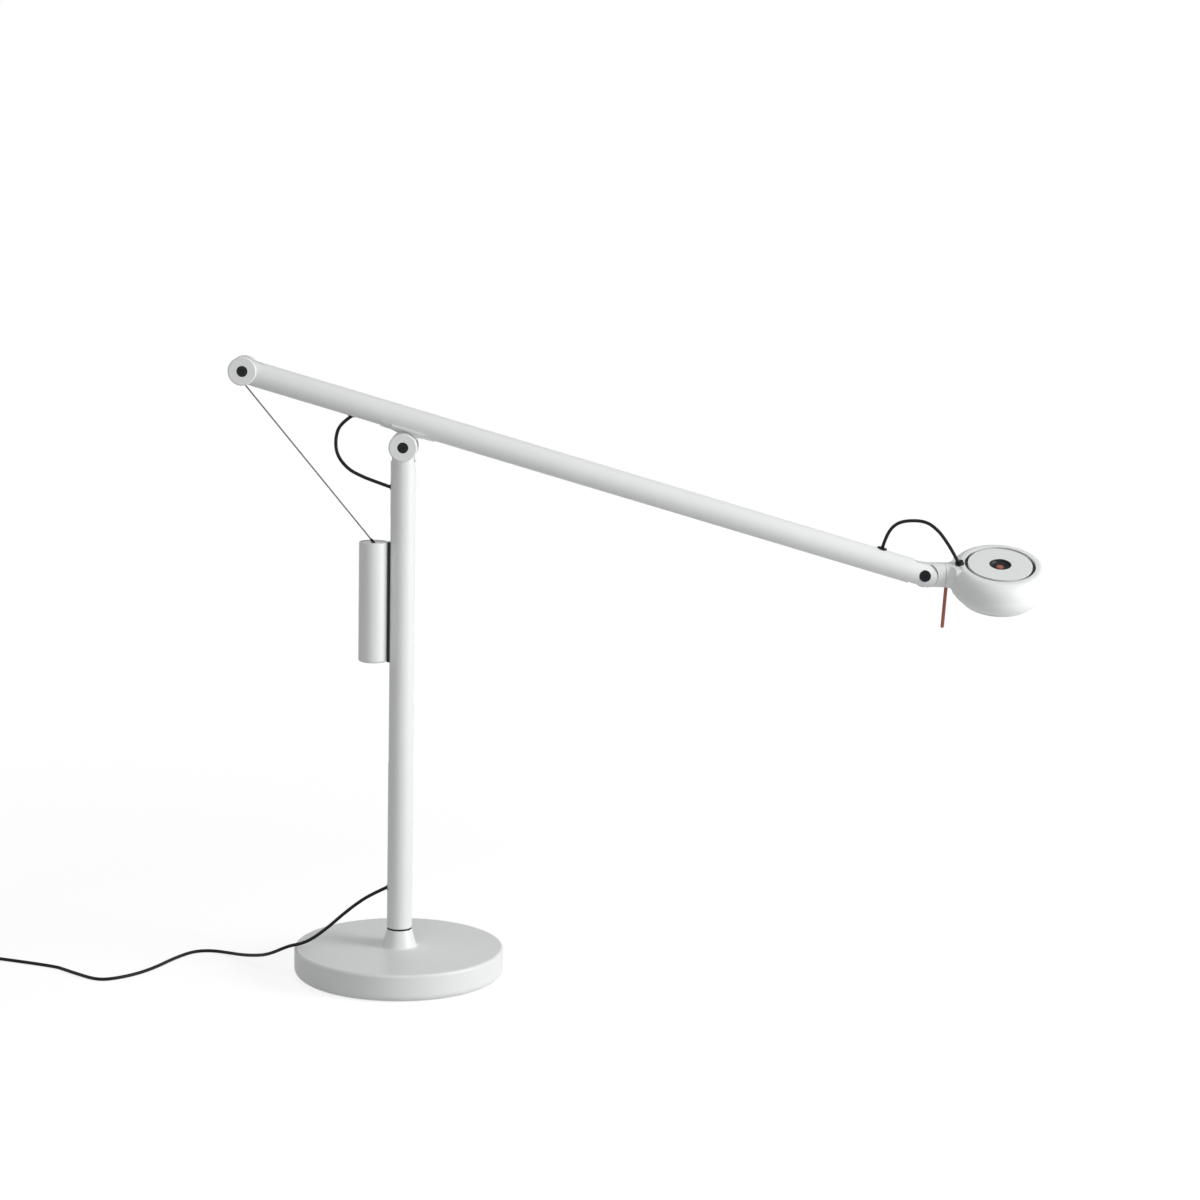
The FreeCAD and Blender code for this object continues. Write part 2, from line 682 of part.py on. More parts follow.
def make_wire():
    eye_centre = wire_foot + wire_heading * wire_length
    eye = bar(wire_eye_radius, -wire_eye_half_width, wire_eye_half_width, Y, eye_centre)
    eye = joined(eye, bar(ferrule_radius, wire_length - 8, wire_length - 1, wire_heading, wire_foot))
    eye = eye.cut(bar(wire_eye_bore, -cover, cover, Y, eye_centre))
    pieces["wire_eye"] = eye.cut(bar(wire_radius + push_fit, 0, wire_length - 2.6, wire_heading, wire_foot))
    pieces["wire"] = bar(wire_radius, 0, wire_length - 2.7, wire_heading, wire_foot)
    ferrule = joined(bar(ferrule_radius, -ferrule_below, ferrule_above, wire_heading, wire_foot),
                     Part.makeSphere(ferrule_ball, wire_foot - wire_heading * (ferrule_below + 1)))
    pieces["wire_ferrule"] = ferrule.cut(bar(wire_radius + push_fit, -0.1, cover, wire_heading, wire_foot))


# ---- neck

def make_neck():
    barrel = bar(neck_radius, 0, neck_length, X)
    flanks = bar(neck_cut_radius, -cover, cover, Y).cut(
        block((-cover, cover), (-tongue_half_width, tongue_half_width), (-cover, cover)))
    tongue = bar(neck_tongue_radius, -tongue_half_width, tongue_half_width, Y)
    body = joined(barrel.cut(flanks), tongue)
    body = body.cut(bar(bush_outer_radius + push_fit, -cover, cover, Y))
    body = body.cut(bar(roll_bolt_radius + push_fit, roll_bolt_start, cover, X))
    pieces["neck_tongue"] = placed(body, neck_frame)
    bush = flanged_bush(axle_radius + running_fit, bush_outer_radius, bush_flange_out,
                        0.1, tongue_half_width, hub_gap / 2 - running_fit)
    pieces["hinge_bushes"] = placed(both_sides(bush), neck_frame)
    bolt = joined(
        bar(roll_bolt_radius, roll_bolt_start, roll_boss_end + running_fit, X),
        bar(roll_bolt_flange, roll_boss_end + running_fit,
            roll_boss_end + running_fit + roll_bolt_flange_height, X),
    )
    pieces["roll_bolt"] = placed(bolt, neck_frame)


# ---- head, about its own axis; every height is from the neck's axis

def head_outline(inset):
    """Half outline of the housing, the whole of it moved in by a wall."""
    side = head_radius - inset
    top = head_top - inset
    crown_level = head_top - crown_down
    crown_radius = head_radius - crown_in
    return (
        (0, mouth_level),
        (mouth_radius - inset, mouth_level),
        ((belly_radius - inset, belly_level), (side, side_bottom)),
        (side, crown_level),
        ((side, crown_level + (top - crown_level) * quarter),
         (crown_radius + (side - crown_radius) * quarter, top), (crown_radius, top)),
        (0, top),
    )


def head_stub():
    """Stub of the head behind the roll joint, which widens into the head but not above it."""
    end = stub_flare_start + stub_flare_length
    wide = neck_radius + stub_flare_rise
    profile = face(
        (neck_length + roll_gap, 0),
        (neck_length + roll_gap, neck_radius),
        (stub_flare_start, neck_radius),
        ((stub_flare_start + stub_flare_length * quarter, neck_radius),
         (end, wide - stub_flare_rise * quarter), (end, wide)),
        (end + stub_flare_length, wide),
        (end + stub_flare_length, 0),
    )
    level_top = block((0, cover), (-cover, cover), (-cover, neck_radius - stub_flat))
    return profile.revolve(ORIGIN, X, 360).common(level_top)


def make_housing():
    outer = turned(*head_outline(0))
    outer.translate(head_axis)
    body = joined(outer, head_stub())
    grommet_seat = body.cut(bar(cable_radius + cable_fit + sleeve_wall, -8, 0.1, head_heading, head_hole))
    body = body.cut(bar(ring_groove_radius, head_top - ring_groove_depth, cover, Z, head_axis))
    roof = head_top - ring_groove_depth - head_wall
    inner = turned(*head_outline(head_wall))
    inner.translate(head_axis)
    inner = inner.common(bar(cover, -cover, roof, Z, head_axis))
    inner = inner.cut(bar(roll_boss_radius, 0, roll_boss_end, X))
    mouth = bar(mouth_radius - mouth_lip, -cover, mouth_level + 1, Z, head_axis)
    body = body.cut(inner).cut(mouth)
    posts = [bar(board_post_radius, board_level + board_thickness, roof + 0.5, Z, head_axis + at)
             for at in around(3, board_post_place, 60)]
    posts += [bar(head_post_radius, heat_sink_level + heat_sink_plate, roof + 0.5, Z, head_axis + at)
              for at in around(3, head_post_place, 0)]
    body = joined(body, *posts)
    body = body.cut(bar(roof_opening_radius, roof - 1, cover, Z, head_axis))
    body = body.cut(bar(roll_bolt_radius + running_fit, 0, roll_boss_end + 1, X))
    body = body.cut(bar(handle_radius + push_fit, neck_radius - handle_root, cover, -Z, X * handle_place))
    body = body.cut(bar(cable_radius + cable_fit + sleeve_wall + push_fit, -8, 10, head_heading, head_hole))
    for at in around(3, head_post_place, 0):
        body = body.cut(bar(head_screw_radius + push_fit, -cover, heat_sink_level + 10, Z, head_axis + at))
    pieces["head_housing"] = placed(body, head_frame)
    pieces["head_grommet"] = placed(head_grommet().cut(grommet_seat), head_frame)


def around(count, radius, first):
    """Evenly spaced places on a circle."""
    angles = [math.radians(first + 360 * k / count) for k in range(count)]
    return [V(math.cos(angle), math.sin(angle), 0) * radius for angle in angles]


def make_head_top():
    floor = head_top - ring_groove_depth
    ring = sleeve(ring_groove_radius - push_fit, dish_radius + 4, floor, floor + ring_groove_depth - plate_thickness,
                  Z, head_axis)
    plate = sleeve(plate_radius, dish_radius + push_fit, head_top - plate_thickness, head_top, Z, head_axis)
    pieces["vent_ring"] = placed(ring, head_frame)
    pieces["top_plate"] = placed(plate, head_frame)
    rim = head_top - 0.3
    bowl_bottom = rim - dish_depth
    bowl = turned(
        (button_radius + running_fit, bowl_bottom - dish_floor),
        (dish_radius + 2, bowl_bottom - dish_floor),
        (dish_radius + 2, floor),
        (dish_radius, floor),
        (dish_radius, rim),
        (dish_radius - dish_wall, rim),
        ((dish_radius * 0.82, bowl_bottom + dish_depth * 0.38), (button_radius + 0.8, bowl_bottom)),
        (button_radius + running_fit, bowl_bottom),
    )
    bowl.translate(head_axis)
    pieces["button_dish"] = placed(bowl, head_frame)
    top = head_top - button_top_depth
    stop = bowl_bottom - dish_floor - running_fit
    button = joined(bar(button_radius, button_foot, top, Z, head_axis),
                    bar(button_collar, stop - 1.2, stop, Z, head_axis))
    button = button.makeFillet(0.6, rims(button, (button_radius, top)))
    pieces["push_button"] = placed(button, head_frame)
    pad_top = button_foot - button_travel - 0.2
    board = bar(board_radius, board_level, board_level + board_thickness, Z, head_axis)
    switch = block((-switch_half, switch_half), (-switch_half, switch_half), (board_level + board_thickness, pad_top))
    switch.translate(head_axis)
    pieces["control_board"] = placed(joined(board, switch), head_frame)


def make_head_light():
    plate_top = heat_sink_level + heat_sink_plate
    sink = bar(heat_sink_radius, heat_sink_level, plate_top, Z, head_axis)
    first = -fin_pitch * (fin_count - 1) / 2
    fins = []
    for k in range(fin_count):
        middle = first + fin_pitch * k
        half_length = math.sqrt((heat_sink_radius - 9) ** 2 - middle ** 2)
        if abs(middle) < fin_pitch * 0.6:
            half_length = board_radius * 0.8
        fin = block((-half_length, half_length), (middle - fin_thickness / 2, middle + fin_thickness / 2),
                    (plate_top, min(plate_top + fin_height, board_level - 0.5)))
        fin.translate(head_axis)
        fins.append(fin)
    sink = joined(sink, *fins)
    screws = []
    for at in around(3, head_post_place, 0):
        seat = head_axis + at
        sink = sink.cut(bar(head_screw_radius + push_fit, -cover, cover, Z, seat))
        screws.append(joined(bar(head_screw_radius, heat_sink_level - 0.1, heat_sink_level + 9, Z, seat),
                             bar(head_screw_head, heat_sink_level - 1.6, heat_sink_level, Z, seat)))
    pieces["heat_sink"] = placed(sink, head_frame)
    pieces["head_screws"] = placed(Part.makeCompound(screws), head_frame)
    bottom = heat_sink_level - led_board_thickness
    board = bar(led_board_radius, bottom, heat_sink_level, Z, head_axis)
    lamps = []
    for at in around(led_count, led_place_radius, 15):
        lamp = block((-led_size / 2, led_size / 2), (-led_size / 2, led_size / 2), (bottom - led_height, bottom))
        lamp.translate(head_axis + at)
        lamps.append(lamp)
    pieces["led_board"] = placed(joined(board, *lamps), head_frame)
    inside = lens_radius - lens_wall
    lens = turned(
        (0, lens_bottom),
        (lens_floor_radius, lens_bottom),
        ((lens_radius - 1.6, lens_bottom + 1.3), (lens_radius, mouth_level)),
        (lens_radius, lens_top),
        (inside, lens_top),
        (inside, lens_bottom + lens_wall + 3),
        (inside - 3, lens_bottom + lens_wall),
        (0, lens_bottom + lens_wall),
    )
    lens.translate(head_axis)
    pieces["lens"] = placed(lens, head_frame)
    ring = sleeve(lens_radius, lens_radius - lens_ring_wall, lens_top, heat_sink_level, Z, head_axis)
    pieces["lens_ring"] = placed(ring, head_frame)


def head_grommet():
    """Flanged rubber grommet on the head's shoulder, before it is cut to the shoulder's shape."""
    flange = bar(grommet_radius, -3, grommet_thickness, head_heading, head_hole)
    neck = bar(cable_radius + cable_fit + sleeve_wall, -3.5, 0, head_heading, head_hole)
    return joined(flange, neck).cut(bar(cable_radius + cable_fit, -cover, cover, head_heading, head_hole))


def make_handle():
    root = neck_radius - handle_root
    pin = bar(handle_radius, root, neck_radius + handle_length)
    pin = pin.makeFillet(handle_radius * 0.8, rims(pin, (handle_radius, neck_radius + handle_length)))
    pieces["handle_pin"] = placed(aimed(pin, X * handle_place, -Z), head_frame)


# ---- cables held by the lamp

def held_cable(name, points):
    pieces[name] = swept(route(points), cable_radius)


def make_cables():
    down = post_cable_x
    held_cable("post_cable", [
        post_hole + post_hole_heading * sleeve_proud,
        V(down, 0, post_hole.z - (down - post_hole.x) * math.tan(math.radians(post_hole_slope))),
        V(down, 0, exit_hole.z + (down - exit_hole.x) * math.tan(math.radians(exit_slope))),
        exit_hole + exit_heading * sleeve_proud,
    ])
    rise = (arm_radius - arm_cable_drop) / math.tan(math.radians(rear_hole_slope))
    arm_route = [
        rear_hole + rear_heading * sleeve_proud,
        V(rear_hole.x + rise, 0, -arm_cable_drop),
        V(front_hole.x - 21, 0, -arm_cable_drop),
        V(front_hole.x - 5, 0, -1.5),
        V(front_hole.x, 0, 6),
        front_hole + Z * (arm_radius + grommet_thickness),
    ]
    held_cable("arm_cable", [arm_frame.multVec(point) for point in arm_route])
    held_cable("rear_loop", [
        arm_frame.multVec(rear_hole + rear_heading * sleeve_proud),
        arm_frame.multVec(rear_hole + rear_heading * (sleeve_proud + rear_loop_lead)),
        pivot + V(-66.9, 0, 7.35),
        pivot + V(-65.6, 0, -9.35),
        pivot + V(-54.6, 0, -23.25),
        pivot + V(-40.0, 0, -30.55),
        post_hole + post_hole_heading * (sleeve_proud + rear_loop_lead),
        post_hole + post_hole_heading * sleeve_proud,
    ])
    held_cable("front_loop", [
        arm_frame.multVec(front_hole + Z * (arm_radius + grommet_thickness)),
        arm_frame.multVec(front_hole + Z * (arm_radius + grommet_thickness + front_loop_lead)),
        V(482.8, -0.4, 465.0),
        loop_split - loop_split_run,
        loop_split,
    ])
    held_cable("head_loop", [
        loop_split,
        loop_split + loop_split_run,
        V(526.2, -2.0, 461.2),
        V(535.2, -2.4, 449.8),
        head_frame.multVec(head_hole + head_heading * (grommet_thickness + head_loop_lead)),
        head_frame.multVec(head_hole + head_heading * grommet_thickness),
    ])


# ---- the free cord: stretch, coil and plug-in supply

def coil_path():
    """Piled spiral of half turns, which climbs a layer in each half turn where it reverses."""
    point = V(coil_x, coil_start_y, coil_floor)
    heading = -X
    first = point - heading * cable_radius * 2
    edges = [Part.LineSegment(first, point).toShape()]
    radius, step, side = coil_first_radius, -1, 1
    for k in range(1, coil_half_turns + 1):
        climbing = k % (coil_layer_turns + 1) == 0
        rise = Z * coil_pitch if climbing else ORIGIN
        target = point + Y * (2 * radius * side) + rise
        edges += biarc(point, heading, target, -heading)
        point, heading, side = target, -heading, -side
        if climbing:
            step = -step
        radius += step * coil_pitch / 2
    edges.append(Part.LineSegment(point, point + heading * coil_tail).toShape())
    return Part.Wire(edges)


def least_gap(path, spacing=2.0, near=14.0):
    """Least clear distance of a tube along a path to its own other turns."""
    marks = path.discretize(Distance=spacing)
    skip = int(near / spacing)
    least = min(a.distanceToPoint(b) for i, a in enumerate(marks) for b in marks[i + skip:])
    return least - 2 * cable_radius


def make_cord():
    start = exit_hole + exit_heading * cord_start_gap
    cord_points = [
        start,
        V(-30.0, 0.0, 80.0),
        V(-50.5, -0.5, 66.5),
        V(-71.5, -2.0, 49.5),
        V(-90.0, -5.0, 37.5),
        V(-108.5, -7.5, 35.5),
        V(-123.0, -1.0, 19.5),
        V(-136.5, 15.5, 4.6),
        V(-157.0, 38.0, coil_floor),
        V(-182.0, 55.0, coil_floor),
        V(-208.0, 59.5, coil_floor),
        V(-228.5, 34.0, coil_floor),
        V(-246.0, -4.0, coil_floor),
        V(-263.5, -38.0, coil_floor),
        V(-290.0, -57.0, coil_floor),
        V(-314.0, -38.0, coil_floor),
        V(-334.0, -13.0, coil_floor),
        V(-362.0, 2.5, coil_floor),
        V(-396.0, 14.0, coil_floor),
        V(-429.0, coil_start_y, coil_floor),
        V(coil_x + cable_radius * 2, coil_start_y, coil_floor),
    ]
    radii = []
    path = route(cord_points, radii)
    cord = swept(path, cable_radius)
    pieces["power_cord"] = cord
    print("cord bend radii:", " ".join("%.1f" % radius for radius in radii))
    section = math.pi * cable_radius ** 2
    print("free cord %.1f mm, volume over section x length %.4f" % (path.Length, cord.Volume / section / path.Length))
    coil = coil_path()
    wound = swept(coil, cable_radius)
    pieces["power_cord_coil"] = wound
    print("coil %.1f mm, least gap %.2f mm, volume over section x length %.4f"
          % (coil.Length, least_gap(coil), wound.Volume / section / coil.Length))
    make_supply(coil.OrderedVertexes[-1].Point)


def make_supply(end):
    """Small plug-in supply that lies beside the coil, the cord in the middle of its end face."""
    height = 2 * end.z
    boot_end = end - X * supply_boot
    body = block((boot_end.x - supply_length, boot_end.x), (end.y - supply_width / 2, end.y + supply_width / 2),
                 (0, height))
    upright = [edge for edge in body.Edges if edge.Length > supply_length - 1]
    body = body.makeFillet(supply_edge, upright)
    ends = [edge for edge in body.Edges
            if edge.BoundBox.XLength < 1e-3]
    body = body.makeFillet(1.5, ends)
    boot = Part.makeCone(cable_radius + 0.8, supply_boot_radius, supply_boot, end, -X)
    body = joined(body, boot)
    far = boot_end.x - supply_length
    roots = [V(far, end.y + side * pin_spacing / 2, end.z) for side in (-1, 1)]
    for root in roots:
        body = body.cut(bar(pin_radius + push_fit, -1, 6, X, root))
    pieces["supply_plug"] = body
    pins = []
    for root in roots:
        pin = bar(pin_radius, -5.9, pin_length)
        pin = pin.makeFillet(pin_radius * 0.7, rims(pin, (pin_radius, pin_length)))
        pins.append(aimed(pin, root, -X))
    pieces["plug_pins"] = Part.makeCompound(pins)


def heading_down(slope, sense):
    """Unit vector in the lamp's plane, sloping down by some degrees, along +X or -X."""
    angle = math.radians(slope)
    return V(sense * math.cos(angle), 0, -math.sin(angle))


post_hole = V(-post_radius, 0, pivot_height - post_hole_drop)
post_hole_heading = -heading_down(post_hole_slope, 1)
exit_hole = V(-post_radius, 0, post_bottom + exit_rise)
exit_heading = heading_down(exit_slope, -1)
rear_hole = V(rear_hole_place, 0, -arm_radius)
rear_heading = heading_down(rear_hole_slope, -1)
front_hole = V(arm_span - front_hole_place, 0, 0)
head_hole_level = head_top - crown_down + crown_down * math.sqrt(
    1 - ((head_reach - head_hole_place - head_radius + crown_in) / crown_in) ** 2)
head_hole = V(head_hole_place, 0, head_hole_level)
head_heading = V(-math.sin(math.radians(head_hole_lean)), 0, math.cos(math.radians(head_hole_lean)))
wire_foot = V(weight_x, 0, weight_top - weight_recess)
wire_heading = V(-math.sin(math.radians(wire_lean)), 0, math.cos(math.radians(wire_lean)))
loop_split = V(503.8, -1.0, 469.8)
loop_split_run = V(10.0, -0.4, 0)
coil_start_y = 24.0

os.makedirs("parts", exist_ok=True)
make_base()
make_swivel()
make_post()
make_saddle()
make_arm()
make_weight()
make_wire()
make_neck()
make_housing()
make_head_top()
make_head_light()
make_handle()
make_cables()
make_cord()
for name, shape in pieces.items():
    shape.exportStep("parts/" + name + ".step")
print(len(pieces), "pieces")
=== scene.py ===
"""Looks of the counterweight desk lamp: finishes, cords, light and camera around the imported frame.

Lengths are in metres, in the frame of the CAD model: origin under the base, +Z up, head along +X.
"""

import math

import bpy
from mathutils import Matrix, Vector


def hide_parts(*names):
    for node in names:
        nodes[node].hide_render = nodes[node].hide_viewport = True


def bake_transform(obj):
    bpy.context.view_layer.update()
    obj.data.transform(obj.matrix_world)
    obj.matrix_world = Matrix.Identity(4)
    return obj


bpy.context.scene.view_settings.view_transform = "Standard"
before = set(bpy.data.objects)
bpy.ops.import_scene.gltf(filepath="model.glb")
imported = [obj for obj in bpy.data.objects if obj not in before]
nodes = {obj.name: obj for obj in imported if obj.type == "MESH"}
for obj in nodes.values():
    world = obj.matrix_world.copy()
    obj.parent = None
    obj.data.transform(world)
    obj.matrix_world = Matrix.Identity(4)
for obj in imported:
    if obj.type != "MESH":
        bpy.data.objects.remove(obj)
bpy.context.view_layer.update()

# ---- sizes shared with the model
cable_radius = 0.0017

# ---- finishes, as linear colours
coat_colour = (0.80, 0.815, 0.81)
coal_colour = (0.007, 0.007, 0.008)
plastic_colour = (0.009, 0.009, 0.010)
cable_colour = (0.004, 0.004, 0.0045)
screw_colour = (0.004, 0.005, 0.008)
clay_colour = (0.330, 0.085, 0.052)
nylon_colour = (0.74, 0.74, 0.71)
opal_dark = (0.80, 0.81, 0.80)
opal_light = (0.84, 0.85, 0.84)


# ---- materials

def new_material(name):
    material = bpy.data.materials.new(name)
    material.use_nodes = True
    tree = material.node_tree
    return material, tree, tree.nodes["Principled BSDF"]


def noise(tree, scale, detail=3.0, stretch=(1, 1, 1)):
    """Noise over the piece's own coordinates, in metres."""
    place = tree.nodes.new("ShaderNodeTexCoord")
    mapping = tree.nodes.new("ShaderNodeMapping")
    mapping.inputs["Scale"].default_value = stretch
    texture = tree.nodes.new("ShaderNodeTexNoise")
    texture.inputs["Scale"].default_value = scale
    texture.inputs["Detail"].default_value = detail
    tree.links.new(place.outputs["Object"], mapping.inputs["Vector"])
    tree.links.new(mapping.outputs["Vector"], texture.inputs["Vector"])
    return texture.outputs["Fac"]


def spread(tree, factor, low, high):
    """Noise factor as a number between two limits."""
    node = tree.nodes.new("ShaderNodeMapRange")
    node.inputs["From Min"].default_value = 0.3
    node.inputs["From Max"].default_value = 0.7
    node.inputs["To Min"].default_value = low
    node.inputs["To Max"].default_value = high
    tree.links.new(factor, node.inputs["Value"])
    return node.outputs["Result"]


def tint(tree, factor, dark, light):
    """Noise factor as a colour between two tones."""
    node = tree.nodes.new("ShaderNodeValToRGB")
    node.color_ramp.elements[0].position = 0.3
    node.color_ramp.elements[0].color = (*dark, 1)
    node.color_ramp.elements[1].position = 0.7
    node.color_ramp.elements[1].color = (*light, 1)
    tree.links.new(factor, node.inputs["Fac"])
    return node.outputs["Color"]


def bump(tree, shader, height, strength, distance, edge=0.0):
    """Relief from a height, on edges that are eased by a radius."""
    node = tree.nodes.new("ShaderNodeBump")
    node.inputs["Strength"].default_value = strength
    node.inputs["Distance"].default_value = distance
    tree.links.new(height, node.inputs["Height"])
    if edge:
        eased = tree.nodes.new("ShaderNodeBevel")
        eased.samples = 4
        eased.inputs["Radius"].default_value = edge
        tree.links.new(eased.outputs["Normal"], node.inputs["Normal"])
    tree.links.new(node.outputs["Normal"], shader.inputs["Normal"])


def shades(colour, amount):
    """A darker and a lighter tone of a colour."""
    return [tuple(channel * (1 + sign * amount) for channel in colour) for sign in (-1, 1)]


def coated(name, colour=coat_colour, roughness=0.42, grain=900, relief=0.00003):
    """Powder coat: even and pale, with a fine grain and slightly uneven gloss."""
    material, tree, shader = new_material(name)
    tree.links.new(tint(tree, noise(tree, 14), *shades(colour, 0.012)), shader.inputs["Base Color"])
    fine = noise(tree, grain, 2.0)
    tree.links.new(spread(tree, fine, roughness - 0.05, roughness + 0.05), shader.inputs["Roughness"])
    shader.inputs["Specular IOR Level"].default_value = 0.45
    bump(tree, shader, fine, 0.25, relief, edge=0.0003)
    return material


def moulded(name, colour, roughness, grain=1400, relief=0.00002, variation=0.08, specular=0.5):
    """Moulded plastic or rubber with a fine texture."""
    material, tree, shader = new_material(name)
    tree.links.new(tint(tree, noise(tree, 60), *shades(colour, variation)), shader.inputs["Base Color"])
    fine = noise(tree, grain, 2.0)
    tree.links.new(spread(tree, fine, roughness - 0.06, roughness + 0.06), shader.inputs["Roughness"])
    shader.inputs["Specular IOR Level"].default_value = specular
    bump(tree, shader, fine, 0.3, relief, edge=0.0002)
    return material


def machined(name, colour, roughness, stretch=(1, 1, 1), metallic=1.0, specular=0.5):
    """Turned or drawn metal, its fine lines drawn out by a stretch of the noise."""
    material, tree, shader = new_material(name)
    lines = noise(tree, 1600, 4.0, stretch)
    tree.links.new(tint(tree, lines, *shades(colour, 0.12)), shader.inputs["Base Color"])
    tree.links.new(spread(tree, lines, roughness - 0.07, roughness + 0.09), shader.inputs["Roughness"])
    shader.inputs["Metallic"].default_value = metallic
    shader.inputs["Specular IOR Level"].default_value = specular
    bump(tree, shader, lines, 0.2, 0.00001)
    return material


def opal(name):
    """Slightly translucent diffuser."""
    material, tree, shader = new_material(name)
    tree.links.new(tint(tree, noise(tree, 40), opal_dark, opal_light), shader.inputs["Base Color"])
    tree.links.new(spread(tree, noise(tree, 1500), 0.30, 0.42), shader.inputs["Roughness"])
    shader.inputs["Transmission Weight"].default_value = 0.12
    shader.inputs["IOR"].default_value = 1.49
    bump(tree, shader, noise(tree, 1500), 0.15, 0.00001)
    return material


def printed_board(name, mask, copper):
    """Circuit board: a lacquer with a grid of tracks under it."""
    material, tree, shader = new_material(name)
    place = tree.nodes.new("ShaderNodeTexCoord")
    tracks = tree.nodes.new("ShaderNodeTexBrick")
    tracks.inputs["Scale"].default_value = 160
    tracks.inputs["Mortar Size"].default_value = 0.06
    tracks.inputs["Color1"].default_value = (*mask, 1)
    tracks.inputs["Color2"].default_value = (*[channel * 0.8 for channel in mask], 1)
    tracks.inputs["Mortar"].default_value = (*copper, 1)
    tree.links.new(place.outputs["Object"], tracks.inputs["Vector"])
    tree.links.new(tracks.outputs["Color"], shader.inputs["Base Color"])
    tree.links.new(spread(tree, noise(tree, 900), 0.25, 0.4), shader.inputs["Roughness"])
    return material


finishes = {
    "coat": coated("coat"),
    "cast_coat": coated("cast_coat", roughness=0.40, grain=620, relief=0.00005),
    "head_coat": coated("head_coat", roughness=0.38, grain=1100),
    "rubber": moulded("rubber", coal_colour, 0.62, grain=1000, relief=0.00003, specular=0.2),
    "black_plastic": moulded("black_plastic", plastic_colour, 0.46, specular=0.25),
    "cable": moulded("cable", cable_colour, 0.46, grain=1800, relief=0.00001, specular=0.18),
    "nylon": moulded("nylon", nylon_colour, 0.45),
    "clay": moulded("clay", clay_colour, 0.42, relief=0.00001),
    "black_screw": machined("black_screw", screw_colour, 0.42, metallic=0.0, specular=0.2),
    "steel": machined("steel", (0.52, 0.52, 0.51), 0.30),
    "bare_aluminium": machined("bare_aluminium", (0.66, 0.67, 0.68), 0.38, (1, 6, 1)),
    # wire finish: a dark steel tone, made darker still as painted shade for the shading between the
    # strands of a wire rope
    "wire_steel": machined("wire_steel", (0.15, 0.15, 0.155), 0.42),
    "lens": opal("lens"),
    "control_board": printed_board("control_board", (0.03, 0.16, 0.06), (0.12, 0.28, 0.10)),
    "light_board": printed_board("light_board", (0.78, 0.78, 0.74), (0.62, 0.62, 0.55)),
}

finish_of = {
    "coat": (
        "post_collar", "post_tube", "post_cap", "pivot_discs", "weight_body", "weight_lid", "arm_tube",
        "arm_saddle", "tail_cap", "tail_discs", "fork_cap", "neck_tongue",
    ),
    "cast_coat": ("base_casting",),
    "head_coat": ("head_housing", "top_plate"),
    "rubber": ("base_pad", "post_grommets", "front_grommet", "rear_grommet", "head_grommet"),
    "black_plastic": ("swivel_washer", "slide_shoe", "vent_ring", "button_dish", "supply_plug"),
    "cable": (
        "power_cord", "power_cord_coil", "post_cable", "arm_cable", "rear_loop", "front_loop", "head_loop",
    ),
    "nylon": ("swivel_bush", "pivot_bushes", "hinge_bushes", "lens_ring"),
    "clay": ("handle_pin", "push_button"),
    "black_screw": ("pivot_screws", "arm_screws", "shoe_screws", "wire_ferrule"),
    "steel": (
        "swivel_spindle", "spring_washer", "spindle_nut", "pivot_axle", "saddle_screws", "tail_pins",
        "hinge_pin", "roll_bolt", "head_screws", "plug_pins",
    ),
    "bare_aluminium": ("heat_sink",),
    "wire_steel": ("wire", "wire_eye"),
    "lens": ("lens",),
    "control_board": ("control_board",),
    "light_board": ("led_board",),
}


def dress(piece, finish):
    piece.data.materials.clear()
    piece.data.materials.append(finishes[finish])


for finish, names in finish_of.items():
    for name in names:
        dress(nodes[name], finish)


# ---- camera, at the photograph's viewpoint

camera_place = Vector((0.176454, -2.763374, 0.829248))
camera_yaw, camera_pitch, camera_roll = 0.0068004, 0.1595051, 0.0202621
focal_length, sensor_width = 85.0, 36.0


def make_camera():
    ahead = Vector((
        math.sin(camera_yaw) * math.cos(camera_pitch),
        math.cos(camera_yaw) * math.cos(camera_pitch),
        -math.sin(camera_pitch),
    ))
    level = Vector((math.cos(camera_yaw), -math.sin(camera_yaw), 0))
    rise = level.cross(ahead)
    right = level * math.cos(camera_roll) + rise * math.sin(camera_roll)
    up = rise * math.cos(camera_roll) - level * math.sin(camera_roll)
    data = bpy.data.cameras.new("camera")
    data.lens = focal_length
    data.sensor_width = sensor_width
    data.clip_end = 50
    camera = bpy.data.objects.new("camera", data)
    axes = Matrix((right, up, -ahead)).transposed()
    camera.matrix_world = Matrix.Translation(camera_place) @ axes.to_4x4()
    bpy.context.scene.collection.objects.link(camera)
    bpy.context.scene.camera = camera


make_camera()


# ---- cords

def smooth_line(points, resolution=16):
    """Points along the NURBS spline of a route."""
    data = bpy.data.curves.new("route", "CURVE")
    data.dimensions = "3D"
    spline = data.splines.new("NURBS")
    spline.points.add(len(points) - 1)
    for target, point in zip(spline.points, points):
        target.co = (*point, 1)
    spline.order_u = 3
    spline.use_endpoint_u = True
    spline.resolution_u = resolution
    holder = bpy.data.objects.new("route", data)
    mesh = bpy.data.meshes.new_from_object(holder)
    line = [vertex.co.copy() for vertex in mesh.vertices]
    bpy.data.objects.remove(holder)
    bpy.data.curves.remove(data)
    bpy.data.meshes.remove(mesh)
    return line


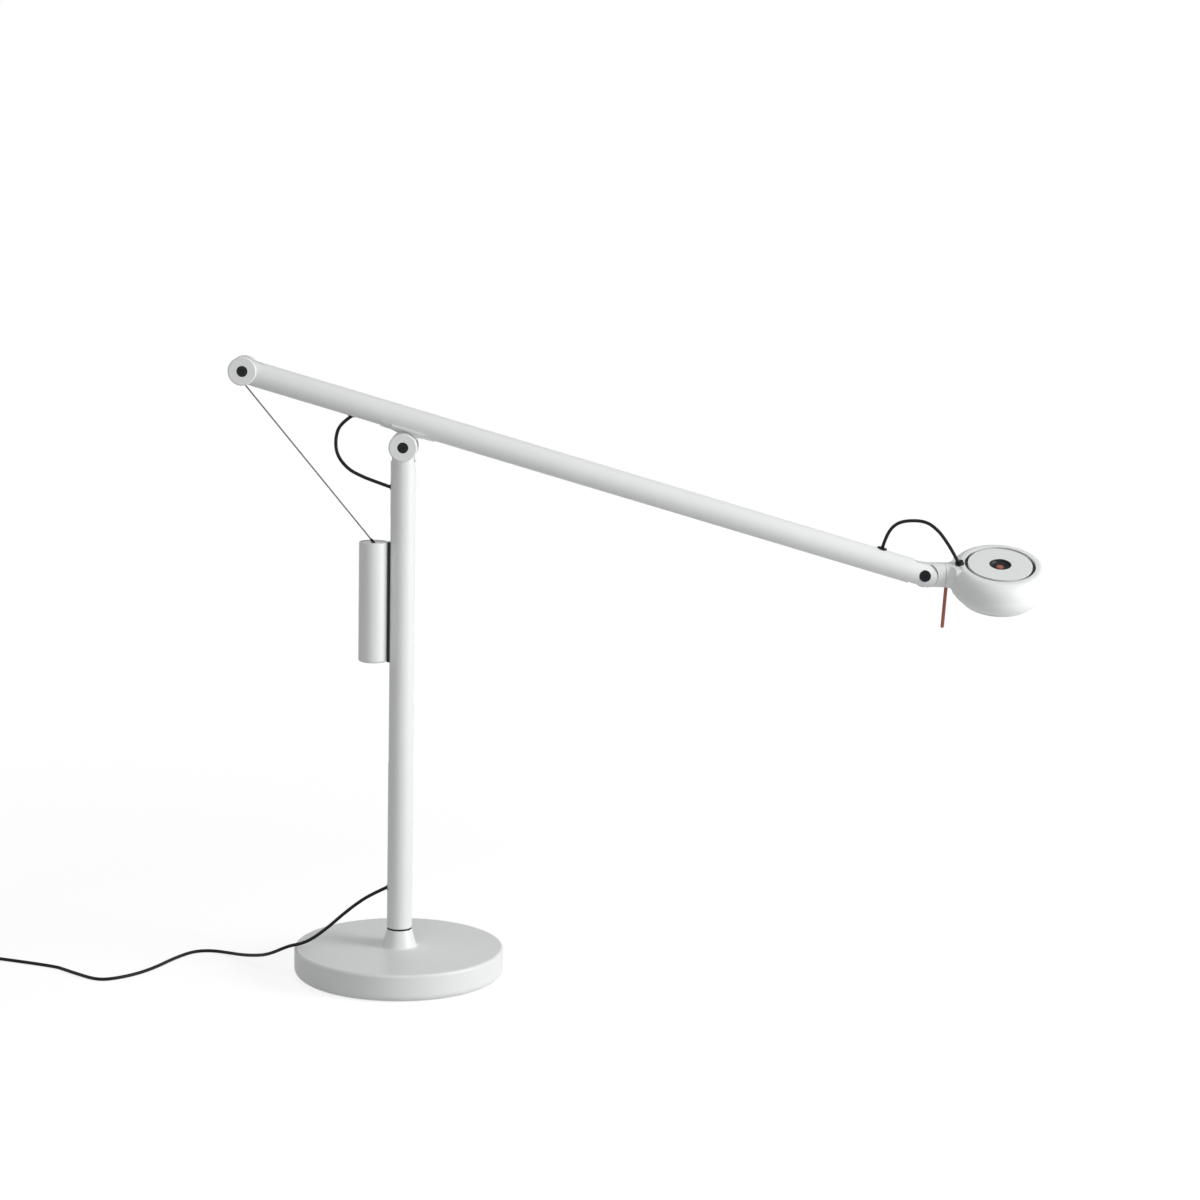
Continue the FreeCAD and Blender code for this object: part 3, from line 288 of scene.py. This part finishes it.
def tube(name, line, radius, sides=16):
    """Closed round tube along a line."""
    vertices, faces = [], []
    heading = (line[1] - line[0]).normalized()
    across = heading.orthogonal().normalized()
    last = len(line) - 1
    for index, point in enumerate(line):
        ahead = (line[min(index + 1, last)] - line[max(index - 1, 0)]).normalized()
        across = (across - ahead * across.dot(ahead)).normalized()
        other = ahead.cross(across)
        for side in range(sides):
            angle = 2 * math.pi * side / sides
            vertices.append(point + (across * math.cos(angle) + other * math.sin(angle)) * radius)
    for ring in range(last):
        for side in range(sides):
            a = ring * sides + side
            b = ring * sides + (side + 1) % sides
            faces.append((a, b, b + sides, a + sides))
    faces.append(tuple(reversed(range(sides))))
    faces.append(tuple(last * sides + side for side in range(sides)))
    mesh = bpy.data.meshes.new(name)
    mesh.from_pydata(vertices, [], faces)
    mesh.shade_smooth()
    piece = bpy.data.objects.new(name, mesh)
    bpy.context.scene.collection.objects.link(piece)
    return piece


def millimetres(*points):
    return [Vector(point) / 1000 for point in points]


def cable(name, line):
    piece = tube(name, line, cable_radius)
    dress(piece, "cable")
    return piece


def make_power_cord():
    """The whole free cord: over the base, along the table, into its coil and on to the supply.

    The points of the stretch were set to the photographed route and aren't the model's own.
    """
    stretch = millimetres(
        (-11.6, 0.0, 89.1), (-29.7, -0.3, 80.3), (-43.6, -1.0, 70.8), (-57.5, -2.5, 59.5),
        (-69.3, -5.0, 49.1), (-80.9, -9.0, 40.4), (-90.4, -12.3, 35.0), (-99.0, -14.0, 32.0),
        (-107.5, -14.0, 30.3), (-116.3, -11.0, 26.2), (-125.5, -5.0, 20.4), (-136.2, 6.0, 14.2),
        (-148.6, 20.0, 9.3), (-163.0, 36.0, 5.0), (-178.7, 51.0, 2.6), (-192.1, 58.7, 1.9),
        (-204.5, 59.3, 1.9), (-216.6, 53.4, 1.9), (-230.8, 30.1, 1.9), (-245.7, -4.7, 1.9),
        (-261.8, -29.3, 1.9), (-284.3, -47.6, 1.9), (-299.0, -47.3, 1.9), (-319.8, -29.7, 1.9),
        (-333.8, -16.9, 1.9), (-345.0, -6.6, 1.9), (-407.8, 18.0, 1.9), (-429.0, 24.0, 1.9),
    )
    line = smooth_line(stretch + coil_points())
    cord = cable("free_cord", line)
    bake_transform(cord)
    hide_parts("power_cord", "power_cord_coil")


# the put-away coil, in millimetres
coil_x = -459.0
coil_start_y = 24.0
coil_floor = 1.9
coil_first_radius = 24.1
coil_pitch = 3.85
coil_layer_turns = 4
coil_half_turns = 18
coil_tail = 24.0
coil_steps = 8


def coil_points():
    """Control points of the piled coil, which follow the half turns of the model's coil."""
    points = []
    y, z, side, step, radius = coil_start_y, coil_floor, 1, -1, coil_first_radius
    for half in range(1, coil_half_turns + 1):
        climbing = half % (coil_layer_turns + 1) == 0
        rise = coil_pitch if climbing else 0.0
        middle = y + radius * side
        reach = radius / math.cos(math.pi / coil_steps / 2)
        for k in range(coil_steps):
            part = (k + 0.5) / coil_steps
            angle = math.pi * part
            points.append((
                coil_x - side * reach * math.sin(angle),
                middle - side * reach * math.cos(angle),
                z + rise * (0.5 - 0.5 * math.cos(angle)),
            ))
        y += 2 * radius * side
        z += rise
        side = -side
        if climbing:
            step = -step
        radius += step * coil_pitch / 2
    points.append((coil_x - 6.0, y, z))
    points.append((coil_x - coil_tail, y, z))
    return millimetres(*points)


make_power_cord()


# ---- loops of cable held by the lamp: points in millimetres, ends in metres

rear_loop_points = (
    (-51.4, 0, 561.7), (-62.2, 0, 554.4), (-66.9, 0, 540.5), (-65.6, 0, 523.8), (-54.6, 0, 509.9),
    (-40.0, 0, 502.6), (-25.3, 0, 497.3), (-13.0, 0, 493.1),
)
front_loop_points = (
    (472.5, 0, 442.7), (475.8, 0, 454.2), (482.8, -0.4, 465.0), (493.8, -0.6, 469.8), (503.8, -1.0, 469.8),
)
head_loop_points = (
    (503.8, -1.0, 469.8), (513.8, -1.4, 469.8), (526.2, -2.0, 461.2), (535.2, -2.4, 449.8),
    (543.1, -7.8, 437.0), (547.3, -5.0, 429.5),
)


def make_loops():
    rear = cable("rear_loop_cable", smooth_line(millimetres(*rear_loop_points)))
    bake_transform(rear)
    front = cable("front_loop_cable", smooth_line(millimetres(*front_loop_points)))
    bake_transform(front)
    head = cable("head_loop_cable", smooth_line(millimetres(*head_loop_points)))
    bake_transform(head)
    for piece, node in ((rear, "rear_loop"), (front, "front_loop"), (head, "head_loop")):
        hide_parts(node)


make_loops()


# ---- floor, lamps and background

world_light = 0.24
floor_seen = 0.35
floor_glow_near = 0.80
floor_glow_far = 0.93
floor_bounce = 0.65
floor_half = 4.0
floor_fade_start = 0.5
floor_fade_end = 2.2
lamp_target = (0.1, 0, 0.3)


def area_lamp(name, place, size, power):
    data = bpy.data.lights.new(name, "AREA")
    data.shape = "RECTANGLE"
    data.size, data.size_y = size
    data.energy = power
    lamp = bpy.data.objects.new(name, data)
    lamp.location = place
    lamp.rotation_euler = (Vector(lamp_target) - Vector(place)).to_track_quat("-Z", "Y").to_euler()
    bpy.context.scene.collection.objects.link(lamp)


def make_floor():
    """Pale floor that takes the lamp's shadow and glows a little more with distance."""
    mesh = bpy.data.meshes.new("floor")
    corners = [(x * floor_half, y * floor_half, 0) for x, y in ((-1, -1), (1, -1), (1, 1), (-1, 1))]
    mesh.from_pydata(corners, [], [(0, 1, 2, 3)])
    floor = bpy.data.objects.new("floor", mesh)
    bpy.context.scene.collection.objects.link(floor)
    material, tree, shader = new_material("floor")
    tree.nodes.remove(shader)
    output = tree.nodes["Material Output"]
    seen = tree.nodes.new("ShaderNodeBsdfDiffuse")
    seen.inputs["Color"].default_value = (*[floor_seen] * 3, 1)
    glow = tree.nodes.new("ShaderNodeEmission")
    place = tree.nodes.new("ShaderNodeNewGeometry")
    distance = tree.nodes.new("ShaderNodeVectorMath")
    distance.operation = "LENGTH"
    fade = tree.nodes.new("ShaderNodeMapRange")
    fade.inputs["From Min"].default_value = floor_fade_start
    fade.inputs["From Max"].default_value = floor_fade_end
    fade.inputs["To Min"].default_value = floor_glow_near
    fade.inputs["To Max"].default_value = floor_glow_far
    tree.links.new(place.outputs["Position"], distance.inputs[0])
    tree.links.new(distance.outputs["Value"], fade.inputs["Value"])
    tree.links.new(fade.outputs["Result"], glow.inputs["Strength"])
    sum_of = tree.nodes.new("ShaderNodeAddShader")
    bounce = tree.nodes.new("ShaderNodeBsdfDiffuse")
    bounce.inputs["Color"].default_value = (*[floor_bounce] * 3, 1)
    choice = tree.nodes.new("ShaderNodeMixShader")
    tree.links.new(seen.outputs["BSDF"], sum_of.inputs[0])
    tree.links.new(glow.outputs["Emission"], sum_of.inputs[1])
    tree.links.new(seen_directly(tree), choice.inputs["Fac"])
    tree.links.new(bounce.outputs["BSDF"], choice.inputs[1])
    tree.links.new(sum_of.outputs["Shader"], choice.inputs[2])
    tree.links.new(choice.outputs["Shader"], output.inputs["Surface"])
    mesh.materials.append(material)


def seen_directly(tree):
    """1 where the camera, a reflection or a clear piece looks at a surface, 0 where light bounces."""
    path = tree.nodes.new("ShaderNodeLightPath")
    total = path.outputs["Is Camera Ray"]
    for kind in ("Is Glossy Ray", "Is Transmission Ray"):
        either = tree.nodes.new("ShaderNodeMath")
        either.operation = "MAXIMUM"
        tree.links.new(total, either.inputs[0])
        tree.links.new(path.outputs[kind], either.inputs[1])
        total = either.outputs["Value"]
    return total


def make_world():
    world = bpy.data.worlds.new("studio")
    world.use_nodes = True
    bpy.context.scene.world = world
    tree = world.node_tree
    light = tree.nodes["Background"]
    light.inputs["Color"].default_value = (1, 1, 1, 1)
    light.inputs["Strength"].default_value = world_light
    white = tree.nodes.new("ShaderNodeBackground")
    white.inputs["Color"].default_value = (1, 1, 1, 1)
    white.inputs["Strength"].default_value = 1.0
    choice = tree.nodes.new("ShaderNodeMixShader")
    tree.links.new(seen_directly(tree), choice.inputs["Fac"])
    tree.links.new(light.outputs["Background"], choice.inputs[1])
    tree.links.new(white.outputs["Background"], choice.inputs[2])
    tree.links.new(choice.outputs["Shader"], tree.nodes["World Output"].inputs["Surface"])


make_floor()
make_world()
area_lamp("key", (2.4, -0.8, 0.85), (1.2, 1.2), 50)
area_lamp("top", (0.3, -0.3, 2.6), (1.6, 1.6), 9)
area_lamp("front", (-0.6, -2.6, 1.2), (1.6, 1.6), 11)
